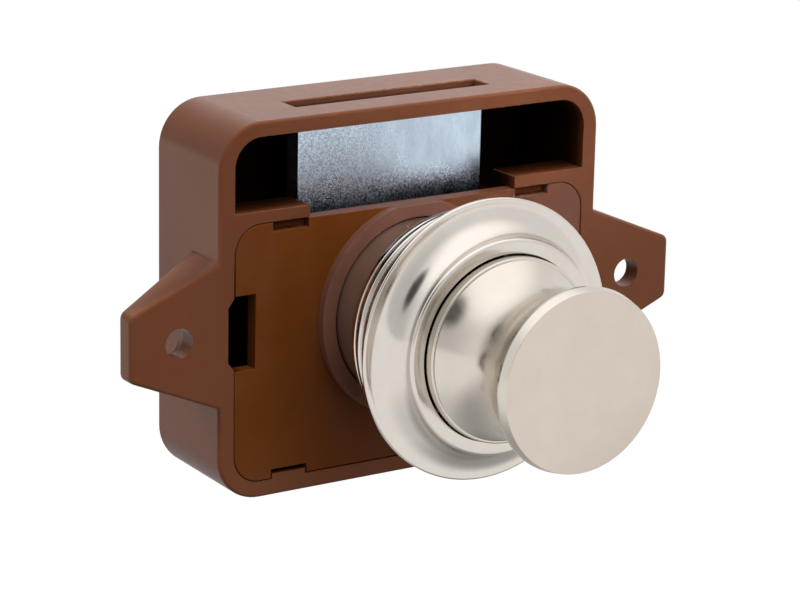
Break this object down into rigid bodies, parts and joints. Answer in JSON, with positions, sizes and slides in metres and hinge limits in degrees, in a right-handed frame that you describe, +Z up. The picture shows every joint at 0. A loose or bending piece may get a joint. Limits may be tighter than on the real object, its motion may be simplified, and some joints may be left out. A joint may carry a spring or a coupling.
{
  "type": "push button cabinet lock",
  "caption": "Furniture door lock with a moulded case, screw ears, a screw-in rosette and a push knob that drives a flat bolt up through the case's top.",
  "frame": {"origin": "where the button axis meets the mounting face, midway between the two ear holes", "axes": "+X to the right seen from the knob's side, +Y from the mounting face into the cabinet, +Z up, the way the bolt leaves the case"},
  "size_m": [0.074, 0.049, 0.0441],
  "materials": {
    "brown_plastic": "moulded, satin, reddish brown",
    "sleeve_plastic": "smooth dark brown",
    "satin_nickel": "satin nickel plate, turned",
    "zinc_steel": "bright zinc plate with fine spangle",
    "spring_steel": "drawn wire",
    "black_plastic": "moulded black acetal"
  },
  "bodies": {
    "case": {"housing": "brown_plastic", "front_cover": "brown_plastic", "return_spring": "spring_steel", "latch_leaf": "spring_steel"},
    "button": {"plunger": "black_plastic", "knob": "satin_nickel", "knob_screw": "zinc_steel", "knob_washer": "zinc_steel"},
    "bolt": {"bolt_plate": "zinc_steel"},
    "latch": {"latch_wire": "spring_steel"},
    "back_ring": {"rosette_back_ring": "satin_nickel"},
    "rosette": {"rosette": "satin_nickel", "threaded_sleeve": "sleeve_plastic"}
  },
  "joints": [
    {"name": "button_press", "type": "slide", "parent": "case", "child": "button", "axis": [0, 1, 0], "range_m": [0, 0.0069], "stiffness_N_per_m": 500, "springref_m": -0.012, "deforming": ["return_spring"]},
    {"name": "bolt_throw", "type": "slide", "parent": "case", "child": "bolt", "axis": [0, 0, 1], "range_m": [0, 0.00865]},
    {"name": "latch_swing", "type": "hinge", "parent": "case", "child": "latch", "pos_m": [0, 0.0126, -0.0092], "axis": [0, 0, 1], "range_deg": [0, 13.8]},
    {"name": "rosette_travel", "type": "slide", "parent": "case", "child": "back_ring", "axis": [0, 1, 0], "range_m": [0, 0.00301]},
    {"name": "rosette_turn", "type": "hinge", "parent": "back_ring", "child": "rosette", "pos_m": [0, -0.0091, 0], "axis": [0, 1, 0], "range_deg": [0, 720]}
  ],
  "couplings": [
    {"joint": "bolt_throw", "follows": "button_press", "ratio": 1.25},
    {"joint": "latch_swing", "follows": "button_press", "rad_per_m": 34.78},
    {"joint": "rosette_travel", "follows": "rosette_turn", "m_per_rad": 0.00023873}
  ]
}
